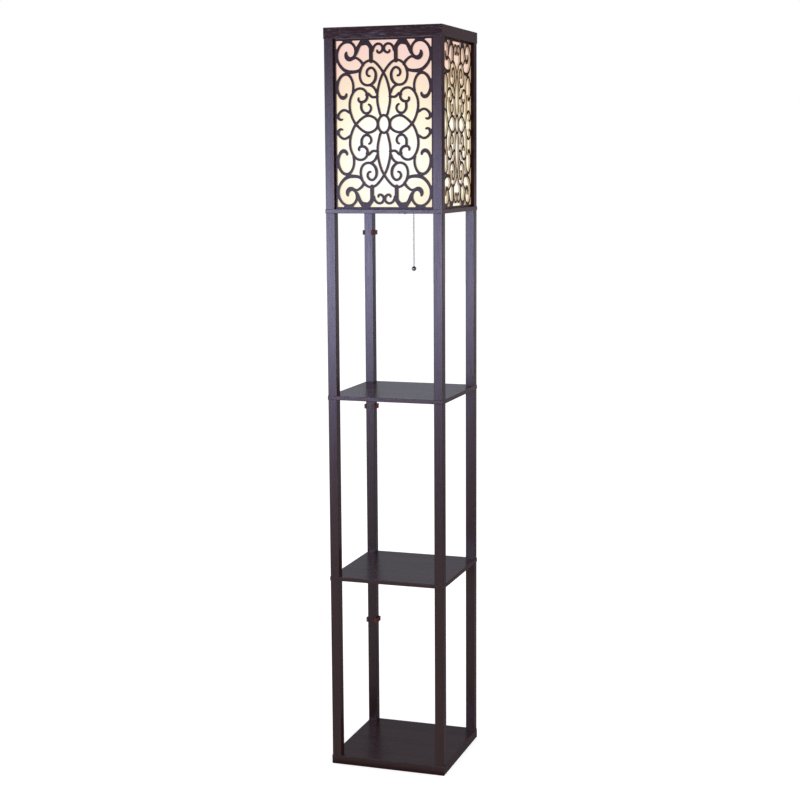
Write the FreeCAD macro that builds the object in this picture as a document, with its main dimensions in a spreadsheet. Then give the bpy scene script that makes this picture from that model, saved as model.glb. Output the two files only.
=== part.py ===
# Shelf floor lamp: four square posts, three shelves and a fretwork lamp box with a pull chain.
# Millimetres, +Z up. The origin is the middle of the base board's underside, and the front faces -Y.
import FreeCAD, Part
import math
import os
import re
import Sketcher

SIZES = {
    # boards
    "board_side": 260,
    "base_thickness": 20,
    "lower_shelf_thickness": 9,
    "upper_shelf_thickness": 9,
    "lamp_floor_thickness": 9,
    # posts, a tier at a time
    "post_size": 20,
    "post_inset": 1,
    "lower_post_length": 397,
    "middle_post_length": 390,
    "upper_post_length": 390,
    "lamp_post_length": 352.5,
    # top frame
    "rail_width": 22,
    "rail_height": 23.5,
    "rail_hole_depth": 14,
    # eased edges of all the wood
    "edge_round": 0.8,
    # studs, bolts and dowels
    "stud_diameter": 6,
    "stud_play": 0.2,
    "stud_end_gap": 1.5,
    "post_hole_depth": 24,
    "bolt_head_diameter": 11,
    "bolt_head_height": 3.5,
    "bolt_recess_depth": 5,
    "bolt_recess_play": 1,
    "rail_dowel_diameter": 5,
    "rail_dowel_offset": 17,
    "rail_dowel_length": 28,
    "rail_dowel_seat": 16,
    # fretwork panels and the liners behind them
    "panel_thickness": 4,
    "panel_recess": 6.5,
    "panel_stile": 4.5,
    "panel_tongue": 3.7,
    "panel_play": 0.3,
    "scroll_width": 5.4,
    "liner_thickness": 1,
    # lamp holder and the pipe that fixes it
    "pipe_diameter": 10,
    "pipe_bore": 7,
    "pipe_reach": 6,
    "pipe_tail": 0.5,
    "pipe_play": 0.2,
    "nut_across": 14,
    "nut_height": 3.5,
    "washer_diameter": 20,
    "washer_thickness": 1,
    "socket_diameter": 34,
    "socket_wall": 0.8,
    "socket_play": 0.2,
    "cap_base": 1.2,
    "cap_shoulder": 16,
    "cap_rim": 6,
    "shell_height": 44,
    "block_diameter": 29.6,
    "block_height": 26,
    "sleeve_wall": 1.2,
    "sleeve_height": 27,
    "screw_bore": 26.6,
    "screw_wall": 0.5,
    "screw_height": 24,
    "contact_diameter": 7,
    "contact_height": 2.5,
    # bulb
    "bulb_gap": 0.1,
    "foot_diameter": 8,
    "foot_height": 2,
    "bulb_cap_diameter": 26,
    "bulb_cap_height": 24,
    "bulb_cap_cone": 5,
    "bulb_cap_wall": 0.8,
    "neck_diameter": 27.2,
    "neck_seat": 5,
    "globe_diameter": 60,
    "bulb_length": 110,
    "glass_wall": 1,
    # pull chain
    "chain_offset": 24.5,
    "bead_diameter": 3,
    "bead_pitch": 3.75,
    "wire_diameter": 0.9,
    "link_gap": 0.35,
    "upper_beads": 10,
    "lower_beads": 29,
    "link_drop": 4,
    "pull_ball_diameter": 10,
    "pull_neck_diameter": 3.2,
    "pull_neck_length": 2.6,
    "spout_height": 27,
    "spout_arm_diameter": 6,
    "spout_diameter": 8.4,
    "spout_bore": 4.8,
    "spout_rise": 4,
    "spout_drop": 9,
    "spout_roof": 2,
    "grommet_bore": 5.6,
    "grommet_wall": 0.8,
    "grommet_flange": 11,
    "grommet_lip": 1.2,
    # way out for the cord
    "gland_inset": 36,
    "gland_bore": 7.2,
    "gland_barrel": 12,
    "gland_flange": 18,
    "gland_lip": 2.5,
    "gland_tail": 6,
    "gland_nut_diameter": 19,
    "gland_nut_height": 4,
    # clips on the rear left post
    "clip_height": 10,
    "clip_wall": 4,
    "clip_spine": 3,
    "clip_lip": 2,
    "clip_long_lip": 4,
    "clip_short_lip": 1.5,
    "clip_round": 2.5,
    "clip_channel": 6.6,
    "clip_channel_depth": 6.2,
    "clip_channel_wall": 2.5,
    "lower_clip_rise": 239,
    "middle_clip_rise": 337,
    "upper_clip_rise": 335,
}

# Heights of the boards' undersides and tops, from the floor up.
BASE_TOP = "(base_thickness)"
LOWER_SHELF = f"({BASE_TOP} + lower_post_length)"
LOWER_SHELF_TOP = f"({LOWER_SHELF} + lower_shelf_thickness)"
UPPER_SHELF = f"({LOWER_SHELF_TOP} + middle_post_length)"
UPPER_SHELF_TOP = f"({UPPER_SHELF} + upper_shelf_thickness)"
LAMP_FLOOR = f"({UPPER_SHELF_TOP} + upper_post_length)"
FLOOR_TOP = f"({LAMP_FLOOR} + lamp_floor_thickness)"
TOP_FRAME = f"({FLOOR_TOP} + lamp_post_length)"

HALF = "(board_side / 2)"
POST_FACE = "(board_side / 2 - post_inset)"
POST_LINE = "(post_inset + post_size / 2)"

# Corners and sides in turn, each a quarter turn on from the one before.
CORNERS = ("front_left", "front_right", "rear_right", "rear_left")
SIDES = ("front", "right", "rear", "left")
TIERS = {
    "lower": ("lower_post_length", BASE_TOP),
    "middle": ("middle_post_length", LOWER_SHELF_TOP),
    "upper": ("upper_post_length", UPPER_SHELF_TOP),
}
BOARDS_ON_STUDS = {
    "lower_shelf": ("lower_shelf_thickness", LOWER_SHELF),
    "upper_shelf": ("upper_shelf_thickness", UPPER_SHELF),
    "lamp_floor": ("lamp_floor_thickness", LAMP_FLOOR),
}

# The scrolls of a quarter panel, drawn from the panel's middle for an opening 208 by 338. Each is a
# run of points along its line: across, up and, where it swells, its share of scroll_width. The
# other quarters mirror it.
SCROLLS = {
    "middle_oval": [(0, 17.9), (6, 15.6), (10.6, 9.6), (12.6, 0)],
    "long_lens": [
        (0, 103), (5, 94.5), (8.9, 84), (12, 72), (13.8, 60), (14, 50), (13, 40), (10.7, 30),
        (7.9, 20), (5.5, 16)],
    "petal": [
        (13.6, 0), (14.3, 5.2), (17.4, 10.2), (22.8, 14), (29, 16.5), (35.2, 17), (41.2, 15.8),
        (47, 12.6), (52, 8.9), (57, 4.4), (61.5, 0)],
    "bracket": [
        (61.5, 0, 1.15), (66.4, 7), (70.6, 16.3), (73.9, 27.3), (75, 39), (73.7, 49.5), (69.8, 59.6),
        (64.3, 67.2), (57.8, 71.4), (50.5, 72.4), (43.8, 70.3), (38.6, 65.2), (36.3, 58.5, 1.1),
        (37.2, 51.5, 1.1), (41.6, 46.6, 1.1), (47.5, 44.9, 1.1), (52.8, 46), (55.3, 49.6),
        (55, 52.8, 0.8)],
    "petal_curl": [
        (49.2, 45, 1.1), (49.3, 38, 1.1), (49, 31.5, 1.1), (46.4, 26.4), (42, 22.6), (37, 21.9, 1.1),
        (32.2, 24), (28.9, 28, 0.95), (27.9, 33.3, 0.95), (29.7, 37.6, 0.9), (32.9, 39.8, 0.8)],
    "spiral": [
        (0, 103), (5.6, 111.2), (11.6, 118.4), (19, 125), (28, 128.3), (37.2, 126.3), (44.6, 120.2),
        (49.5, 111), (51.9, 101), (50.8, 91), (46.2, 83), (39.2, 79.2), (31.5, 78.8), (24.4, 82, 1.1),
        (19.2, 88, 1.2), (16.8, 96, 1.2), (17.3, 103.8, 1.1), (20.8, 110.3), (26.5, 113.7),
        (32.6, 111.6), (36.5, 106.2), (36.1, 100.8, 0.95), (33.2, 97.5, 0.9), (30.4, 97, 0.8)],
    "lens_brace": [(34, 78.6), (28, 78), (22.6, 75), (18.6, 70.4), (15.6, 63.5)],
    "lens_curl": [(13.6, 55.4, 1.1), (18.5, 54.6), (23.5, 54.4), (28.4, 57), (32.2, 60.3, 1.15),
                  (37, 59.5, 1.35)],
    "side_oval": [
        (67.6, 66), (66.5, 74), (67, 82.5), (69.3, 90), (73.8, 97.2, 1.1), (80, 101.6, 1.25),
        (86.5, 101.4, 1.2), (93, 97.6, 1.15), (98.2, 90.5, 1.2), (101.4, 81, 1.2), (101.8, 71.5, 1.15),
        (98.8, 62.2, 1.15), (94.4, 56, 1.4), (88.8, 54, 1.55), (84.2, 56.4, 1.3), (82.1, 61.3, 0.9)],
    "edge_curl": [
        (75, 24, 1.1), (80.5, 27), (86.5, 29.2), (92.3, 27.9), (97.2, 24), (100.4, 18.4, 1.1),
        (99.8, 12.8, 1.1), (96, 9.8), (92, 10.4, 0.8)],
    "corner_scroll": [
        (48.6, 115, 0.95), (52.4, 109.4, 1.15), (59, 106.8, 1.25), (66, 106, 1.35), (74, 105.9, 1.5),
        (82, 108, 1.4), (90, 113.4, 1.25), (96.6, 121.2, 1.15), (101, 131, 1.05), (102, 140.5, 1.05),
        (100, 150, 1.05), (95, 158.6, 1.05), (87.5, 164.5, 1.05), (78.5, 166.4, 1.05),
        (70, 164.2, 1.05), (63.8, 158, 1.05), (61, 150.5, 1.05), (61.6, 143, 1.05), (64.6, 136.8, 1.1),
        (69.5, 132.8, 1.5), (75, 132, 1.8), (79.8, 135.2, 1.8), (81.9, 140.8, 1.45),
        (81.2, 145.2, 0.9)],
    "corner_tail": [(44.6, 119.5, 1.2), (48.8, 126.4, 1.1), (54.6, 131.4), (60.4, 134.3), (66, 133)],
    "top_scroll": [
        (23.4, 148, 1.1), (20.8, 155), (16.6, 159.6), (10.5, 161.4), (5, 159.4), (1.8, 154.4),
        (2, 148.8, 1.1), (5.3, 144.9), (9.6, 143.6), (12.8, 145.2, 0.9), (13.4, 148, 0.8)],
    "top_post": [(27.1, 127, 1.63), (27.1, 140, 1.63), (27.1, 155, 1.63)],
    "top_arch": [
        (27.2, 149, 1.5), (29.6, 157.2, 1.5), (35.5, 162.4, 1.5), (43.5, 163.3, 1.5),
        (50.8, 160.6, 1.5), (55.2, 154.4, 1.5), (58, 147.3, 1.4), (61.2, 140.5, 1.1)],
}
# Solid webs where scrolls run together, or run into the stiles.
WEBS = {
    "arch_foot": [(24, 158), (32, 169), (32, 170), (50.5, 170), (50.5, 169), (57.5, 158.5),
                  (50, 158), (34, 160)],
    "top_web": [(67.5, 170), (90.5, 170), (90.5, 168.6), (86, 164), (71, 164), (67.5, 168.6)],
    "corner_web": [(105, 122.5), (105, 154.5), (101, 151), (101, 128)],
    "oval_web": [(105, 92.5), (105, 60.5), (101, 65), (101, 85)],
    "curl_web": [(105, 23.5), (105, 10.5), (100.5, 12), (100.5, 19)],
}

doc = FreeCAD.newDocument("shelf_floor_lamp")
nodes = []


# ---- sizes and how shapes are tied to them ----

def make_sheet():
    sheet = doc.addObject("Spreadsheet::Sheet", "Sizes")
    for row, (name, size) in enumerate(SIZES.items(), start=1):
        sheet.set(f"A{row}", name)
        sheet.set(f"B{row}", str(size))
        sheet.setAlias(f"B{row}", name)
    doc.recompute()
    return sheet


def bind(target, path, expression):
    """Tie a property to an expression written with the sheet's plain size names."""
    def on_sheet(word):
        name = word.group()
        return "Sizes." + name if name in SIZES else name
    target.setExpression(path, re.sub(r"[a-z_]+", on_sheet, expression))


def place(target, x="0", y="0", z="0", turn=0, tilt=None):
    """Put a piece at x, y, z, turned about Z by a number of degrees after any tilt."""
    rotation = FreeCAD.Rotation(FreeCAD.Vector(0, 0, 1), turn)
    if tilt:
        rotation = rotation.multiply(tilt)
    target.Placement = FreeCAD.Placement(FreeCAD.Vector(), rotation)
    for axis, expression in zip("xyz", (x, y, z)):
        bind(target, f"Placement.Base.{axis}", expression)


def outward(name):
    """Which way a corner or a side lies from the middle, across and fore and aft."""
    words = name.split("_")
    return ("right" in words) - ("left" in words), ("rear" in words) - ("front" in words)


def keep(target, label):
    """Note a finished sub-part under its own label."""
    target.Label = label
    nodes.append(target)
    return target


# ---- sketches and features ----

def new_body(label):
    return keep(doc.addObject("PartDesign::Body", label), label)


def new_sketch(body, name, role="XY_Plane", height=None):
    sketch = body.newObject("Sketcher::SketchObject", name)
    plane = next(face for face in body.Origin.OriginFeatures if face.Role == role)
    sketch.AttachmentSupport = [(plane, "")]
    sketch.MapMode = "FlatFace"
    if height:
        bind(sketch, "AttachmentOffset.Base.z", height)
    return sketch


def hold(sketch, kind, geometry, point, expression):
    """Hold a point at a distance from the sketch's axis, or on it where the distance is 0."""
    if expression == "0":
        axis = -2 if kind == "DistanceX" else -1
        sketch.addConstraint(Sketcher.Constraint("PointOnObject", geometry, point, axis))
        return
    spot = sketch.getPoint(geometry, point)
    start = spot.x if kind == "DistanceX" else spot.y
    index = sketch.addConstraint(Sketcher.Constraint(kind, geometry, point, start))
    bind(sketch, f"Constraints[{index}]", expression)


def outline(sketch, corners):
    """A closed outline with a corner at each x, y, all given as expressions."""
    count = len(corners)
    first = sketch.GeometryCount
    start = [FreeCAD.Vector(20 + 10 * math.cos(2 * math.pi * i / count),
                            20 + 10 * math.sin(2 * math.pi * i / count)) for i in range(count)]
    for i in range(count):
        sketch.addGeometry(Part.LineSegment(start[i], start[(i + 1) % count]), False)
    for i in range(count):
        follower = first + (i + 1) % count
        sketch.addConstraint(Sketcher.Constraint("Coincident", first + i, 2, follower, 1))
    for i, (x, y) in enumerate(corners):
        hold(sketch, "DistanceX", first + i, 1, x)
        hold(sketch, "DistanceY", first + i, 1, y)


def rectangle(sketch, left, low, right, high):
    outline(sketch, [(left, low), (right, low), (right, high), (left, high)])


def circle(sketch, x, y, diameter):
    start = Part.Circle(FreeCAD.Vector(20, 20, 0), FreeCAD.Vector(0, 0, 1), 2)
    index = sketch.addGeometry(start, False)
    hold(sketch, "DistanceX", index, 3, x)
    hold(sketch, "DistanceY", index, 3, y)
    size = sketch.addConstraint(Sketcher.Constraint("Diameter", index, 4))
    bind(sketch, f"Constraints[{size}]", diameter)


def pad(body, sketch, length):
    feature = body.newObject("PartDesign::Pad", "Pad")
    feature.Profile = sketch
    bind(feature, "Length", length)
    doc.recompute()
    return feature


def revolve(body, sketch):
    feature = body.newObject("PartDesign::Revolution", "Revolution")
    feature.Profile = sketch
    feature.ReferenceAxis = (sketch, ["V_Axis"])
    feature.Angle = 360
    doc.recompute()
    return feature


def pocket(body, sketch, depth=None, towards_normal=False):
    """Cut a sketch to a depth, or right through, and make sure that it cut something."""
    before = body.Shape.Volume
    feature = body.newObject("PartDesign::Pocket", "Pocket")
    feature.Profile = sketch
    feature.Reversed = towards_normal
    if depth:
        bind(feature, "Length", depth)
    else:
        feature.Type = "ThroughAll"
    doc.recompute()
    if not body.Shape.Volume < before:
        raise RuntimeError(f"a pocket in {body.Label} cut nothing")
    return feature


def ease(body, feature, radius, chosen):
    """Round the chosen edges of a feature."""
    names = [f"Edge{i}" for i, edge in enumerate(feature.Shape.Edges, start=1) if chosen(edge)]
    fillet = body.newObject("PartDesign::Fillet", "Fillet")
    fillet.Base = (feature, names)
    bind(fillet, "Radius", radius)
    doc.recompute()
    return fillet


def runs_along(axis):
    """A test for straight edges that lie along one axis."""
    def chosen(edge):
        start, end = edge.Vertexes[0].Point, edge.Vertexes[-1].Point
        span = [abs(end.x - start.x), abs(end.y - start.y), abs(end.z - start.z)]
        return span["xyz".index(axis)] > 0.999 * edge.Length
    return chosen


def turned(label, profile, x="0", y="0", z="0"):
    """A piece turned about its own Z axis, from radius and height pairs."""
    body = new_body(label)
    sketch = new_sketch(body, label + "_profile", "XZ_Plane")
    outline(sketch, profile)
    revolve(body, sketch)
    place(body, x, y, z)
    return body


def cylinder(name, diameter, length, x="0", y="0", z="0", tilt=None):
    rod = doc.addObject("Part::Cylinder", name)
    bind(rod, "Radius", f"({diameter}) / 2")
    bind(rod, "Height", length)
    place(rod, x, y, z, tilt=tilt)
    return rod


def group(label, pieces):
    """Identical fasteners as one sub-part of separate solids."""
    compound = doc.addObject("Part::Compound", label)
    compound.Links = pieces
    return keep(compound, label)


# ---- boards, posts and the top frame ----

def post_centres():
    """The four post lines, seen from a board's front left corner."""
    far = f"board_side - {POST_LINE}"
    return [(x, y) for x in (POST_LINE, far) for y in (POST_LINE, far)]


def board(label, thickness, level):
    """A square board with eased edges and a hole on each post line."""
    body = new_body(label)
    plan = new_sketch(body, label + "_plan")
    rectangle(plan, "0", "0", "board_side", "board_side")
    ease(body, pad(body, plan, thickness), "edge_round", lambda edge: True)
    holes = new_sketch(body, label + "_stud_holes")
    for x, y in post_centres():
        circle(holes, x, y, "stud_diameter + stud_play")
    pocket(body, holes, towards_normal=True)
    place(body, f"-{HALF}", f"-{HALF}", level)
    return body


def base_board():
    body = board("base_board", "base_thickness", "0")
    recesses = new_sketch(body, "bolt_recesses")
    for x, y in post_centres():
        circle(recesses, x, y, "bolt_head_diameter + bolt_recess_play")
    pocket(body, recesses, "bolt_recess_depth", towards_normal=True)


def lamp_floor():
    """The board that carries the lamp holder, with holes for its pipe, the chain and the cord."""
    body = board("lamp_floor", "lamp_floor_thickness", LAMP_FLOOR)
    holes = new_sketch(body, "fitting_holes")
    circle(holes, HALF, HALF, "pipe_diameter + pipe_play")
    circle(holes, f"{HALF} + chain_offset", HALF, "grommet_bore + 2 * grommet_wall + pipe_play")
    circle(holes, "gland_inset", "board_side - gland_inset", "gland_barrel + pipe_play")
    pocket(body, holes, towards_normal=True)


def post(label, length, level, corner, grooved=False):
    """A square post standing in one corner, its outer edge at its own origin."""
    sign_x, sign_y = outward(corner)
    body = new_body(label)
    plan = new_sketch(body, label + "_plan")
    rectangle(plan, "0", "0", "post_size", "post_size")
    ease(body, pad(body, plan, length), "edge_round", runs_along("z"))
    if grooved:
        grooves = new_sketch(body, label + "_grooves")
        near, far = "panel_recess", "panel_recess + panel_thickness + liner_thickness + panel_play"
        bottom, beyond = "post_size - panel_tongue - panel_play", "post_size + panel_tongue"
        rectangle(grooves, bottom, near, beyond, far)
        rectangle(grooves, near, bottom, far, beyond)
        pocket(body, grooves, towards_normal=True)
    for end, height in (("foot", None), ("head", length)):
        hole = new_sketch(body, f"{label}_{end}_hole", height=height)
        circle(hole, "post_size / 2", "post_size / 2", "stud_diameter + stud_play")
        pocket(body, hole, "post_hole_depth", towards_normal=end == "foot")
    turn = 90 * CORNERS.index(corner)
    place(body, f"{sign_x} * {POST_FACE}", f"{sign_y} * {POST_FACE}", level, turn)


def posts():
    for corner in CORNERS:
        for tier, (length, level) in TIERS.items():
            post(f"{tier}_post_{corner}", length, level, corner)
        post(f"lamp_post_{corner}", "lamp_post_length", FLOOR_TOP, corner, grooved=True)


def cross_rail(label, side):
    """A full-width top rail: it takes two post dowels from below and two rail dowels behind."""
    sign_y = outward(side)[1]
    body = new_body(label)
    plan = new_sketch(body, label + "_plan")
    rectangle(plan, "0", "0", "board_side", "rail_width")
    ease(body, pad(body, plan, "rail_height"), "edge_round", lambda edge: True)
    below = new_sketch(body, label + "_post_holes")
    for x in (POST_LINE, f"board_side - {POST_LINE}"):
        circle(below, x, POST_LINE, "stud_diameter + stud_play")
    pocket(body, below, "rail_hole_depth", towards_normal=True)
    behind = new_sketch(body, label + "_rail_holes", "XZ_Plane", height="-rail_width")
    for x in ("rail_dowel_offset", "board_side - rail_dowel_offset"):
        circle(behind, x, "rail_height / 2", "rail_dowel_diameter + stud_play")
    pocket(body, behind, "rail_dowel_length - rail_dowel_seat + stud_end_gap", towards_normal=True)
    half_turn = 0 if side == "front" else 180
    place(body, f"{sign_y} * {HALF}", f"{sign_y} * {HALF}", TOP_FRAME, half_turn)


def side_rail(label, side):
    """A short top rail between the cross rails, with a dowel hole in each end."""
    sign_x = outward(side)[0]
    length = "(board_side - 2 * rail_width)"
    body = new_body(label)
    plan = new_sketch(body, label + "_plan")
    rectangle(plan, "0", "0", "rail_width", length)
    ease(body, pad(body, plan, "rail_height"), "edge_round", runs_along("y"))
    for end, height in (("near", None), ("far", f"-{length}")):
        hole = new_sketch(body, f"{label}_{end}_hole", "XZ_Plane", height=height)
        circle(hole, "rail_dowel_offset", "rail_height / 2", "rail_dowel_diameter + stud_play")
        pocket(body, hole, "rail_dowel_seat", towards_normal=end == "far")
    half_turn = 0 if side == "left" else 180
    place(body, f"{sign_x} * {HALF}", f"{sign_x} * ({HALF} - rail_width)", TOP_FRAME, half_turn)


def top_frame():
    for side in ("front", "rear"):
        cross_rail(f"top_rail_{side}", side)
    for side in ("left", "right"):
        side_rail(f"top_rail_{side}", side)


# ---- studs, bolts and dowels ----

def on_post_lines(name, diameter, length, level):
    """One rod on each post line."""
    centre = f"({POST_FACE} - post_size / 2)"
    rods = []
    for corner in CORNERS:
        sign_x, sign_y = outward(corner)
        rods.append(cylinder(f"{name}_{corner}", diameter, length,
                             f"{sign_x} * {centre}", f"{sign_y} * {centre}", level))
    return rods


def fasteners():
    studs = []
    for name, (thickness, level) in BOARDS_ON_STUDS.items():
        length = f"{thickness} + 2 * post_hole_depth - stud_end_gap"
        studs += on_post_lines(f"{name}_stud", "stud_diameter", length, f"{level} - post_hole_depth")
    group("post_studs", studs)

    shank = "base_thickness - bolt_recess_depth + post_hole_depth - stud_end_gap"
    shanks = on_post_lines("bolt_shank", "stud_diameter", shank, "bolt_recess_depth")
    heads = on_post_lines("bolt_head", "bolt_head_diameter", "bolt_head_height",
                          "bolt_recess_depth - bolt_head_height")
    bolts = []
    for stem, head in zip(shanks, heads):
        bolt = doc.addObject("Part::Fuse", "bolt")
        bolt.Base = stem
        bolt.Tool = head
        bolts.append(bolt)
    group("base_bolts", bolts)

    dowel = "post_hole_depth + rail_hole_depth - stud_end_gap"
    group("post_dowels", on_post_lines("post_dowel", "stud_diameter", dowel,
                                       f"{TOP_FRAME} - post_hole_depth"))

    along_y = FreeCAD.Rotation(FreeCAD.Vector(1, 0, 0), -90)
    start = f"({HALF} - rail_width - rail_dowel_seat)"
    dowels = []
    for sign_x in (-1, 1):
        across = f"{sign_x} * ({HALF} - rail_dowel_offset)"
        for name, y in (("front", f"-{start} - rail_dowel_length"), ("rear", start)):
            dowels.append(cylinder(f"rail_dowel_{name}", "rail_dowel_diameter", "rail_dowel_length",
                                   across, y, f"{TOP_FRAME} + rail_height / 2", along_y))
    group("rail_dowels", dowels)


# ---- fretwork panels and liners ----

def curve_through(points):
    curve = Part.BSplineCurve()
    curve.interpolate(points)
    return curve


def scroll_face(points, width):
    """The flat outline of one scroll, as wide as width times each point's share, with round ends."""
    line = curve_through([point for point, _ in points])
    sides = {1: [], -1: []}
    for point, share in points:
        along = line.tangent(line.parameter(point))[0]
        for sign, side in sides.items():
            side.append(point + FreeCAD.Vector(-along.y, along.x, 0) * (sign * width * share / 2))
    (first, first_share), (last, last_share) = points[0], points[-1]
    start_cap = first - line.tangent(line.FirstParameter)[0] * (width * first_share / 2)
    end_cap = last + line.tangent(line.LastParameter)[0] * (width * last_share / 2)
    left, right = sides[1], sides[-1]
    edges = [
        curve_through(left).toShape(),
        Part.Arc(left[-1], end_cap, right[-1]).toShape(),
        curve_through(right).toShape(),
        Part.Arc(right[0], start_cap, left[0]).toShape(),
    ]
    return Part.Face(Part.Wire(Part.__sortEdges__(edges)))


def facing_up(face):
    """The same face with its normal along +Z, so that neighbours can be joined."""
    if face.normalAt(0, 0).z > 0:
        return face
    turned_over = face.copy()
    turned_over.reverse()
    return turned_over


def fretwork_face(sheet):
    """The whole panel as one flat face: stiles, and the scrolls and webs of all four quarters."""
    gap = sheet.board_side - 2 * (sheet.post_inset + sheet.post_size)
    half_width = gap / 2 - sheet.panel_stile
    half_height = sheet.lamp_post_length / 2 - sheet.panel_stile
    drawn_width, drawn_height = 208, 338
    scale_x = 2 * half_width / drawn_width
    scale_y = 2 * half_height / drawn_height
    outer_half = gap / 2 + sheet.panel_tongue
    panel_height = sheet.lamp_post_length - sheet.panel_play
    blank = Part.makePlane(2 * outer_half, panel_height,
                           FreeCAD.Vector(-outer_half, -sheet.lamp_post_length / 2, 0))
    opening = Part.makePlane(2 * half_width, 2 * half_height,
                             FreeCAD.Vector(-half_width, -half_height, 0))
    pieces = []
    for sign_x in (1, -1):
        for sign_y in (1, -1):
            for run in SCROLLS.values():
                points = [(FreeCAD.Vector(sign_x * scale_x * p[0], sign_y * scale_y * p[1], 0),
                           p[2] if len(p) > 2 else 1) for p in run]
                pieces.append(facing_up(scroll_face(points, sheet.scroll_width)))
            for run in WEBS.values():
                corners = [FreeCAD.Vector(sign_x * scale_x * x, sign_y * scale_y * y, 0)
                           for x, y in run]
                pieces.append(facing_up(Part.Face(Part.makePolygon(corners + corners[:1]))))
    joined = blank.cut(opening).multiFuse(pieces)
    return Part.Shell(joined.Faces).removeSplitter().Faces[0]


def panels_and_liners(sheet):
    upright = FreeCAD.Rotation(FreeCAD.Vector(1, 0, 0), 90)
    fret = fretwork_face(sheet).extrude(FreeCAD.Vector(0, 0, -sheet.panel_thickness))
    middle = f"{FLOOR_TOP} + lamp_post_length / 2"
    across = f"({POST_FACE} - post_size + panel_tongue)"
    for side in SIDES:
        sign_x, sign_y = outward(side)
        turn = 90 * SIDES.index(side)
        panel = keep(doc.addObject("Part::Feature", f"fretwork_{side}"), f"fretwork_{side}")
        panel.Shape = fret.copy()
        outside = f"({POST_FACE} - panel_recess)"
        place(panel, f"{sign_x} * {outside}", f"{sign_y} * {outside}", middle, turn, upright)

        liner = keep(doc.addObject("Part::Box", f"liner_{side}"), f"liner_{side}")
        bind(liner, "Length", f"2 * {across}")
        bind(liner, "Width", "liner_thickness")
        bind(liner, "Height", "lamp_post_length - panel_play")
        inside = f"({outside} - panel_thickness)"
        start_x = f"{sign_x} * {inside} + {sign_y} * {across}"
        start_y = f"{sign_y} * {inside} - {sign_x} * {across}"
        place(liner, start_x, start_y, FLOOR_TOP, turn)


# ---- lamp holder and bulb ----

SOCKET_RADIUS = "(socket_diameter / 2)"
CAP_INSIDE = f"({SOCKET_RADIUS} - socket_wall - socket_play / 2)"
BLOCK_TOP = "(pipe_reach + block_height)"
FOOT_LEVEL = f"({BLOCK_TOP} + contact_height + bulb_gap)"
BULB_CAP_LEVEL = f"({FOOT_LEVEL} + foot_height)"


def ring(label, bore, diameter, height, x="0", y="0", z="0"):
    inner, outer = f"({bore}) / 2", f"({diameter}) / 2"
    return turned(label, [(inner, "0"), (outer, "0"), (outer, height), (inner, height)], x, y, z)


def pipe_and_nut():
    """The threaded pipe that clamps the lamp holder to the lamp floor."""
    stack = "(washer_thickness + nut_height + pipe_tail)"
    ring("lamp_pipe", "pipe_bore", "pipe_diameter", f"lamp_floor_thickness + {stack} + pipe_reach",
         z=f"{LAMP_FLOOR} - {stack}")
    ring("pipe_washer", "pipe_diameter + pipe_play", "washer_diameter", "washer_thickness",
         z=f"{LAMP_FLOOR} - washer_thickness")
    nut_level = f"{LAMP_FLOOR} - washer_thickness - nut_height"
    blank = doc.addObject("Part::Prism", "nut_blank")
    blank.Polygon = 6
    bind(blank, "Circumradius", "nut_across / 2 / cos(30 deg)")
    bind(blank, "Height", "nut_height")
    place(blank, z=nut_level)
    bore = cylinder("nut_bore", "pipe_diameter + pipe_play", "nut_height", z=nut_level)
    nut = keep(doc.addObject("Part::Cut", "pipe_nut"), "pipe_nut")
    nut.Base = blank
    nut.Tool = bore


def lamp_holder():
    bore = "(pipe_diameter + pipe_play) / 2"
    turned("socket_cap", [
        (bore, "0"), (SOCKET_RADIUS, "0"), (SOCKET_RADIUS, "cap_shoulder"),
        (CAP_INSIDE, "cap_shoulder"), (CAP_INSIDE, "cap_shoulder + cap_rim"),
        (f"{CAP_INSIDE} - socket_wall", "cap_shoulder + cap_rim"),
        (f"{CAP_INSIDE} - socket_wall", "cap_base"), (bore, "cap_base")], z=FLOOR_TOP)

    shell = ring("socket_shell", "socket_diameter - 2 * socket_wall", "socket_diameter",
                 "shell_height", z=f"{FLOOR_TOP} + cap_shoulder")
    hole = new_sketch(shell, "spout_hole", "YZ_Plane")
    circle(hole, "0", "spout_height - cap_shoulder", "spout_arm_diameter + pipe_play")
    pocket(shell, hole, "socket_diameter", towards_normal=True)

    block = cylinder("switch_block", "block_diameter", "block_height", z=f"{FLOOR_TOP} + pipe_reach")
    keep(block, "switch_block")
    ring("screw_shell", "screw_bore", "screw_bore + 2 * screw_wall", "screw_height",
         z=f"{FLOOR_TOP} + {BLOCK_TOP}")
    ring("insulating_sleeve", "block_diameter - sleeve_wall", "block_diameter + sleeve_wall",
         "sleeve_height", z=f"{FLOOR_TOP} + {BLOCK_TOP}")
    turned("centre_contact", [
        ("0", "0"), ("contact_diameter / 2", "0"), ("contact_diameter / 2", "contact_height / 2"),
        ("contact_diameter / 4", "contact_height"), ("0", "contact_height")],
        z=f"{FLOOR_TOP} + {BLOCK_TOP}")


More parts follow.
